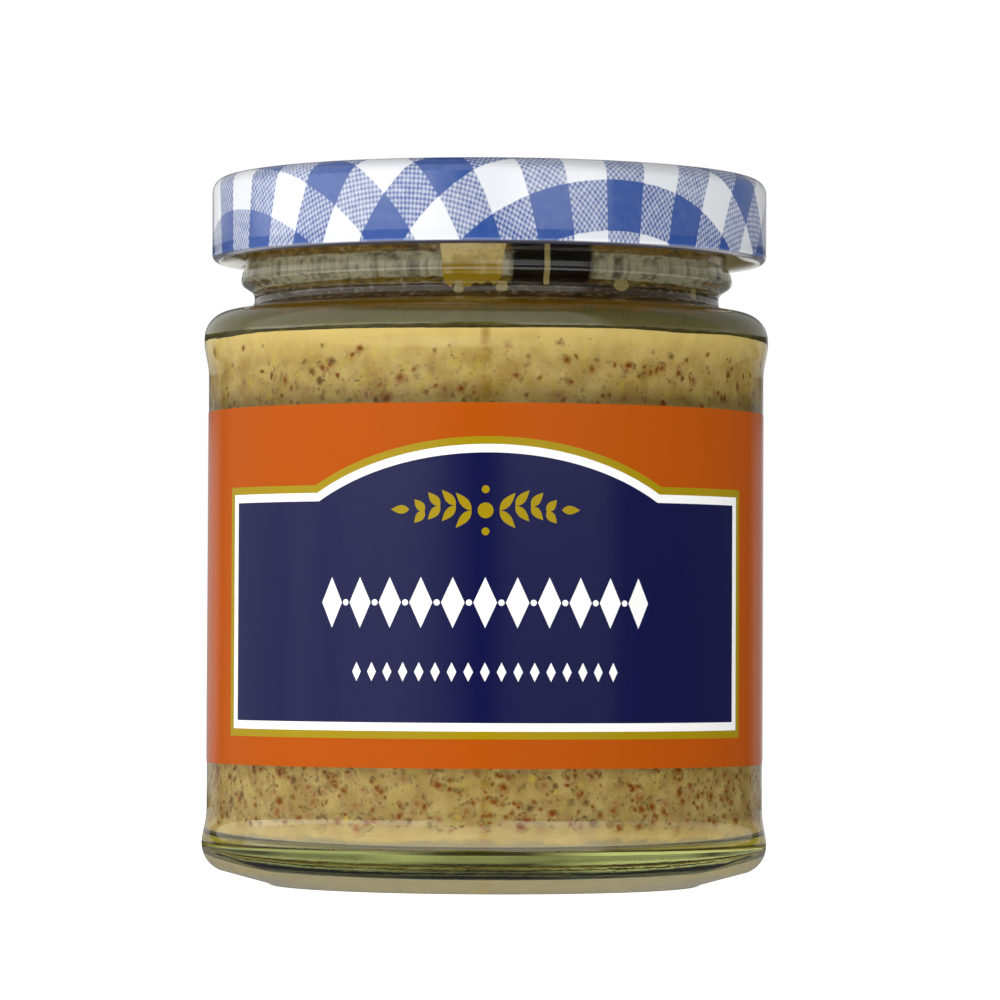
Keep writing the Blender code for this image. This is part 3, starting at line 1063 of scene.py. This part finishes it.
def sprigs(height):
    """Two leafy sprigs that mirror each other about a dot, as outlines."""
    shapes = [disc(0.0, height, SPRIG_DOT)]
    shapes += [disc(0.0, height + rise, SPRIG_DOT / 2) for rise in (0.0024, -0.0024)]
    for side, turn in ((-1, 180), (1, 0)):
        for i in range(4):
            base = (side * (LEAF_START + LEAF_PITCH * i), height + SPRIG_WAVE * math.sin(i * 1.1))
            for lean in (LEAF_LEAN, -LEAF_LEAN):
                shapes.append(leaf(base, turn + side * lean, LEAF_LENGTH - 0.0003 * i, LEAF_WIDTH))
        tip = (side * (LEAF_START + LEAF_PITCH * 4), height + 0.0001)
        shapes.append(leaf(tip, turn, 0.0022, LEAF_WIDTH))
    return shapes


def row_of(shape, count, pitch):
    """Shapes in a centred row; shape makes an outline from its place across."""
    return [shape((i - (count - 1) / 2) * pitch) for i in range(count)]


def label_fields():
    """Printed fields of the label, with the number of each one's ink."""
    orange, gold, white, navy = range(4)
    fields = [(box_outline(-LABEL_HALF, LABEL_HALF, LABEL_BOTTOM, LABEL_TOP), orange)]
    borders = ((0.0, gold), (BORDER_WHITE, white), (BORDER_NAVY, navy))
    fields += [(arched_outline(inset), ink) for inset, ink in borders]
    fields += [(shape, gold) for shape in sprigs(SPRIG_HEIGHT)]
    large = row_of(lambda across: lozenge(across, LARGE_ROW, *LARGE_LOZENGE), 11, LARGE_PITCH)
    dots = row_of(lambda across: disc(across, LARGE_ROW, DOT_RADIUS), 10, LARGE_PITCH)
    small = row_of(lambda across: lozenge(across, SMALL_ROW, *SMALL_LOZENGE), 17, SMALL_PITCH)
    fields += [(shape, white) for shape in large + dots + small]
    for middle in (-SIDE_MIDDLE, SIDE_MIDDLE):
        for inset, ink in borders:
            half = SIDE_HALF - inset
            low = PANEL_BOTTOM + inset
            high = PANEL_SHOULDER - inset
            fields.append((box_outline(middle - half, middle + half, low, high), ink))
        for height in SIDE_ROWS:
            for across in (middle - SIDE_PITCH, middle, middle + SIDE_PITCH):
                fields.append((lozenge(across, height, *SIDE_LOZENGE), gold))
    return fields


def make_label():
    """Printed paper that wraps the wall."""
    inks = [
        ink_material("ink_orange", ORANGE, shine=0.15),
        ink_material("ink_gold", GOLD),
        ink_material("paper_white", PAPER_WHITE, 0.01),
        ink_material("ink_navy", NAVY, shine=0.70),
        ink_material("paper_back", PAPER_BACK, 0.03),
    ]
    label = wrapped("jar_label", label_fields(), LABEL_RADIUS, LABEL_THICKNESS, inks)
    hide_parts("label")
    return label


# Mustard

def surface_lift(x, y):
    """Height of the mustard's soft waves at a point of its top."""
    spot = Vector((x, y, 0.0)) / SURFACE_WAVE_LENGTH + NOISE_ORIGIN
    return SURFACE_WAVE * noise.noise(spot)


def paste_change(top_count):
    """Function that gives the mustard's top its waves and its grainy relief."""
    def change(index, radius, angle, height):
        if index < top_count:
            point = on_jar(radius, angle, height)
            calm = 1.0 - EDGE_CALM * (radius / INNER_RADIUS) ** 6
            height += calm * surface_lift(point.x, point.y)
            height += calm * GRAIN_LIFT * noise.fractal(point / GRAIN_LENGTH, 0.8, 2.0, 3)
        return radius, angle, height
    return change


def make_paste():
    """The filling, which bites a little into the glass so that no air shows between them."""
    edge_radius = INNER_RADIUS + FILL_BITE
    rings = 60
    top = [
        (edge_radius * i / rings, FILL_HEIGHT - FILL_EDGE_DROP * (i / rings) ** 2)
        for i in range(rings + 1)
    ]
    side = floor_outline(-FILL_BITE)[::-1]
    materials = [wet_paste_material(), glazed_paste_material()]
    paste = turned("jar_mustard", top + side, materials, paste_change(rings + 1), rings)
    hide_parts("mustard")
    return paste


def is_hidden(angle, height):
    """Whether the label covers a place on the wall."""
    behind = LABEL_BOTTOM + LABEL_MARGIN < height < LABEL_TOP - LABEL_MARGIN
    in_gap = abs(angle) > math.pi - math.radians(LABEL_GAP_DEGREES)
    return behind and not in_gap


def ball(fineness):
    """Points and faces of a round ball of radius 1."""
    mesh = bmesh.new()
    bmesh.ops.create_icosphere(mesh, subdivisions=fineness, radius=1.0)
    points = [vertex.co.copy() for vertex in mesh.verts]
    faces = [[vertex.index for vertex in face.verts] for face in mesh.faces]
    mesh.free()
    return points, faces


def bit_place(draw):
    """Angle and height of a bit where the label doesn't hide it, rarer towards the mustard's edge."""
    while True:
        angle = draw.uniform(-math.pi, math.pi)
        height = draw.uniform(*BIT_HEIGHTS)
        sunk = 0.0
        if height > LABEL_TOP - LABEL_MARGIN:
            sunk = THINNING + (height - LABEL_TOP) / SETTLING
        if draw.random() >= sunk and not is_hidden(angle, height):
            return angle, height


def bit_matrix(draw, size, narrow):
    """Place, turn and size of a flat bit that lies against the glass."""
    angle, height = bit_place(draw)
    depth = min(BIT_DEPTH, size * 0.25)
    low = max(0.0, FLOOR_HEIGHT + FLOOR_ROUNDING - height)
    bend = math.sqrt(max(0.0, FLOOR_ROUNDING ** 2 - low ** 2)) - FLOOR_ROUNDING
    place = on_jar(INNER_RADIUS + FILL_BITE - depth * 0.5 + bend, angle, height)
    turn = Matrix.Rotation(angle, 4, "Z") @ Matrix.Rotation(math.asin(low / FLOOR_ROUNDING), 4, "X")
    spin = Matrix.Rotation(draw.uniform(0, math.pi), 4, "Y")
    squash = Matrix.Diagonal((size / 2, depth, size / 2 * draw.uniform(narrow, 1.0), 1.0))
    return Matrix.Translation(place) @ turn @ spin @ squash


def fragments(name, seed, count, sizes, strengths, shape, material):
    """Bits that lie in the paste against the glass, as one mesh at true size.

    sizes are the smallest and largest width, and strengths how clearly the faintest and the
    clearest bit shows; shape is (flattest side ratio, roughness of outline, fineness).
    """
    draw = random.Random(seed)
    narrow, rough, fineness = shape
    round_points, round_faces = ball(fineness)
    points = []
    faces = []
    tones = []
    for _ in range(count):
        size = sizes[0] + (sizes[1] - sizes[0]) * draw.random() ** BIT_SIZE_FALL
        whole = bit_matrix(draw, size, narrow)
        faint = 1.0 - draw.uniform(*strengths)
        offset = Vector((draw.uniform(0, 99), draw.uniform(0, 99), 0))
        faces += [[len(points) + corner for corner in face] for face in round_faces]
        for point in round_points:
            from_middle = math.hypot(point.x, point.z)
            swell = 1.0 + rough * noise.noise(point * 1.3 + offset)
            tones.append(faint + (1.0 - faint) * from_middle)
            points.append(whole @ (point * swell))
    data = bpy.data.meshes.new(name)
    data.from_pydata(points, [], faces)
    data.attributes.new("tone", "FLOAT", "POINT").data.foreach_set("value", tones)
    data.shade_smooth()
    piece = placed(name, data, [material])
    return piece


def make_fragments():
    """Bran, seeds, yellow hulls and specks in the two bands that the label leaves free."""
    bran = fragment_material("bran", BRAN_RED, BRAN_BROWN)
    pale = fragment_material("pale_bran", BRAN_BROWN, BRAN_PALE)
    seed = fragment_material("seed", SEED_BROWN, SEED_RIM)
    hull = fragment_material("yellow_hull", HULL_YELLOW, HULL_YELLOW)
    dark = fragment_material("dark_speck", SEED_DARK, SEED_RIM)
    olive = fragment_material("olive_speck", SPECK_OLIVE, SPECK_OLIVE)
    return [
        fragments("mustard_hulls", 17, 100, (0.0008, 0.0019), (0.25, 0.6), (0.6, 0.5, 2), hull),
        fragments("mustard_pale_bran", 15, 750, (0.0009, 0.0025), (0.40, 0.9), (0.5, 0.6, 2), pale),
        fragments("mustard_bran", 11, 820, (0.0007, 0.0021), (0.75, 1.0), (0.55, 0.6, 2), bran),
        fragments("mustard_seeds", 12, 90, (0.0011, 0.0019), (0.7, 1.0), (0.75, 0.3, 2), seed),
        fragments("mustard_specks", 14, 650, (0.0004, 0.0011), (0.7, 1.0), (0.6, 0.4, 1), dark),
        fragments("mustard_olive_specks", 16, 800, (0.0005, 0.0014), (0.5, 1.0), (0.6, 0.4, 1), olive),
    ]


# Smears

def smear_outline(left, right, low, high, seed, wave=0.0006):
    """Patch with an uneven edge, anticlockwise, between two angles in degrees on the bore."""
    draw = random.Random(seed)
    start = BORE_RADIUS * math.radians(left)
    end = BORE_RADIUS * math.radians(right)
    count = max(8, round((end - start) / SMEAR_STEP))
    lower = []
    for i in range(count + 1):
        share = i / count
        round_end = 1.0 - math.sqrt(max(0.0, 1.0 - (2 * share - 1) ** 8))
        rise = (high - low) * 0.5 * round_end + wave * draw.uniform(-0.5, 0.5)
        lower.append((start + (end - start) * share, low + rise))
    steps = max(2, round((high - low) / SMEAR_RISE))
    sides = []
    for side, levels in ((end, range(1, steps)), (start, range(steps - 1, 0, -1))):
        for level in levels:
            height = low + (high - low) * (0.55 + 0.45 * level / steps)
            sides.append((side + wave * draw.uniform(-0.5, 0.5), height))
    return lower + sides[:steps - 1] + [(end, high), (start, high)] + sides[steps - 1:]


def drip_outline(angle, low, high, width):
    """Run of mustard with a round end, anticlockwise."""
    across = BORE_RADIUS * math.radians(angle)
    end = arc((across, low + width / 2), width / 2, 180, 360, 10)
    half = width * DRIP_NECK / 2
    return end + [(across + half, high), (across - half, high)]


def make_runs():
    """Patches and runs of mustard on the inside of the neck, in front of the film."""
    patches = [
        smear_outline(-12, 5, 0.0704, FILM_TOP, 22, 0.0015),
        smear_outline(100, 150, 0.0700, FILM_TOP, 23),
        smear_outline(-160, -110, 0.0695, FILM_TOP, 24),
    ]
    drips = [
        drip_outline(-7.0, 0.0688, 0.0709, 0.0011),
        drip_outline(3.8, 0.0691, 0.0709, 0.0014),
        drip_outline(15.0, 0.0703, FILM_TOP, 0.0007),
        drip_outline(35.8, 0.0697, 0.0722, 0.0022),
        drip_outline(64.0, 0.0690, 0.0715, 0.0014),
        drip_outline(170.0, 0.0690, 0.0760, 0.0022),
    ]
    fields = [(patch, 0) for patch in patches] + [(drip, 1) for drip in drips]
    materials = [
        run_material("mustard_run", RUN_GOLD, RUN_CREAM),
        run_material("mustard_drip", RUN_PALE, RUN_PALE),
    ]
    runs = wrapped("mustard_runs", fields, BORE_RADIUS + RUN_BITE, RUN_THICKNESS, materials, SMEAR_STEP)
    for vertex in runs.data.vertices:
        swell = bore_at(vertex.co.z) / BORE_RADIUS
        vertex.co.x *= swell
        vertex.co.y *= swell
    return runs


def make_film():
    """Thin film of mustard all round the inside of the neck, from the filling up under the lid."""
    wall = [point for point in bore_outline() if point[1] < FILM_TOP]
    wall = [(INNER_RADIUS, FILL_HEIGHT - 2 * FILL_EDGE_DROP)] + wall
    outer = [(radius + FILM_BITE, height + FILM_BITE) for radius, height in wall]
    inner = [(radius - FILM_DEPTH, height - FILM_DEPTH) for radius, height in wall[::-1]]
    film = turned("mustard_film", outer + inner, [film_material()])
    return film


# Studio

CAMERA_PLACE = (0.0, -0.6319, 0.0287)
CAMERA_LENS = 189.5
CAMERA_PITCH = 1.577
CAMERA_YAW = 0.1633
CAMERA_ROLL = -0.26

# Soft walls of light round the jar, their brighter feet, which the lid mirrors, weaker lights about
# and below the horizon in front of the jar and behind it, and a patch on the table: middle angle,
# half width, softness, lowest and highest elevation, fade at the top, all in degrees, and brightness
SOFT_WALLS = [
    (-64, 46, 14, 4.3, 58, 14, 1.35),
    (-5, 13, 10, 9, 58, 14, 1.3),
    (28, 20, 10, 4.3, 58, 14, 1.3),
    (82, 36, 14, 4.3, 58, 14, 0.26),
    (-138, 30, 12, 4.3, 60, 14, 0.65),
    (142, 26, 12, 4.3, 60, 14, 0.40),
    (-64, 46, 14, 4.3, 8.5, 1, 1.4),
    (28, 20, 10, 4.3, 8.5, 1, 1.2),
    (82, 36, 14, 4.3, 8.5, 1, 0.35),
    (-47, 27, 34, -14, 3.7, 0.6, 0.37),
    (-104, 28, 16, -14, 3.7, 0.6, 0.27),
    (30, 24, 10, -14, 3.7, 0.6, 0.15),
    (90, 44, 10, -14, 3.7, 0.6, 0.03),
    (-158, 14, 8, -1.5, 2.5, 0.6, 0.37),
    (159, 14, 8, -1.5, 2.5, 0.6, 0.27),
    (176, 10, 8, -3.4, 8.5, 0.6, 0.27),
    (180, 50, 14, -14, -3.4, 0.6, 0.17),
    (-48, 50, 40, -80, -16, 4, 1),
]
WALL_EDGE = 0.3
ROOM_LIGHT = 0.03
CEILING_LIGHT = 0.45
CEILING_ELEVATION = (60.0, 75.0)
TABLE_LIGHT = 2.05
TABLE_ELEVATION = (-15.0, -32.0)
FLOOR_RADIUS = 0.7


def make_camera():
    """Camera at the photograph's angle, a little below the middle of the jar."""
    data = bpy.data.cameras.new("camera")
    data.lens = CAMERA_LENS
    data.clip_start = 0.01
    camera = bpy.data.objects.new("camera", data)
    camera.location = CAMERA_PLACE
    turns = (90.0 + CAMERA_PITCH, CAMERA_ROLL, -CAMERA_YAW)
    camera.rotation_euler = [math.radians(turn) for turn in turns]
    bpy.context.scene.collection.objects.link(camera)
    bpy.context.scene.camera = camera


def sine(degrees):
    """Sine of an angle in degrees."""
    return math.sin(math.radians(degrees))


def soft_wall(tree, level, up, wall):
    """Light of one wall in the direction of the level vector and the upward share up."""
    angle, half, softness, low, high, fade, brightness = wall
    middle = on_jar(1.0, math.radians(angle), 0.0)
    toward = vector_maths(tree, "DOT_PRODUCT", level, middle)["Value"]
    inner = math.cos(math.radians(half - softness / 2))
    outer = math.cos(math.radians(half + softness / 2))
    across = spread(tree, toward, outer, inner)
    bottom = spread(tree, up, sine(low - WALL_EDGE / 2), sine(low + WALL_EDGE / 2))
    top = spread(tree, up, sine(high + fade / 2), sine(high - fade / 2))
    lit = times(tree, times(tree, bottom, top), across)
    return times(tree, lit, brightness)


def make_light():
    """Light tent: soft walls of light and a ceiling, with a dark gap where the camera looks in.

    The camera itself sees plain white behind the jar.
    """
    world = bpy.data.worlds.new("tent")
    world.use_nodes = True
    tree = world.node_tree
    direction = add_node(tree, "ShaderNodeTexCoord").outputs["Generated"]
    parts = parts_of(tree, direction)
    level = level_direction(tree, parts)
    ceiling = spread(tree, parts[2], *[sine(angle) for angle in CEILING_ELEVATION])
    light = maths(tree, "MULTIPLY_ADD", ceiling, CEILING_LIGHT, ROOM_LIGHT)
    table = spread(tree, parts[2], *[sine(angle) for angle in TABLE_ELEVATION])
    light = maths(tree, "MULTIPLY_ADD", table, TABLE_LIGHT, light)
    for wall in SOFT_WALLS:
        light = maths(tree, "ADD", light, soft_wall(tree, level, parts[2], wall))
    path = add_node(tree, "ShaderNodeLightPath")
    strength = maths(tree, "MAXIMUM", light, path.outputs["Is Camera Ray"])
    set_inputs(tree, tree.nodes["Background"], Color=WHITE, Strength=strength)
    bpy.context.scene.world = world


def make_stage():
    """Pale round floor."""
    mesh = bmesh.new()
    bmesh.ops.create_circle(mesh, cap_ends=True, radius=FLOOR_RADIUS, segments=64)
    finished(mesh, "stage", [stage_material()])


def set_rendering():
    """Plain colours, and lamps that reach the mustard straight through the glass."""
    scene = bpy.context.scene
    scene.view_settings.view_transform = "Standard"
    scene.cycles.caustics_refractive = False
    scene.cycles.caustics_reflective = False
    scene.cycles.max_bounces = 16
    scene.cycles.transmission_bounces = 16
    scene.cycles.transparent_max_bounces = 16


def main():
    make_camera()
    pieces = [make_glass(), make_lid(), make_label(), make_paste(), make_film(), make_runs()]
    pieces += make_fragments()
    for piece in pieces:
        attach(piece, BODY)
    make_stage()
    make_light()
    set_rendering()


main()
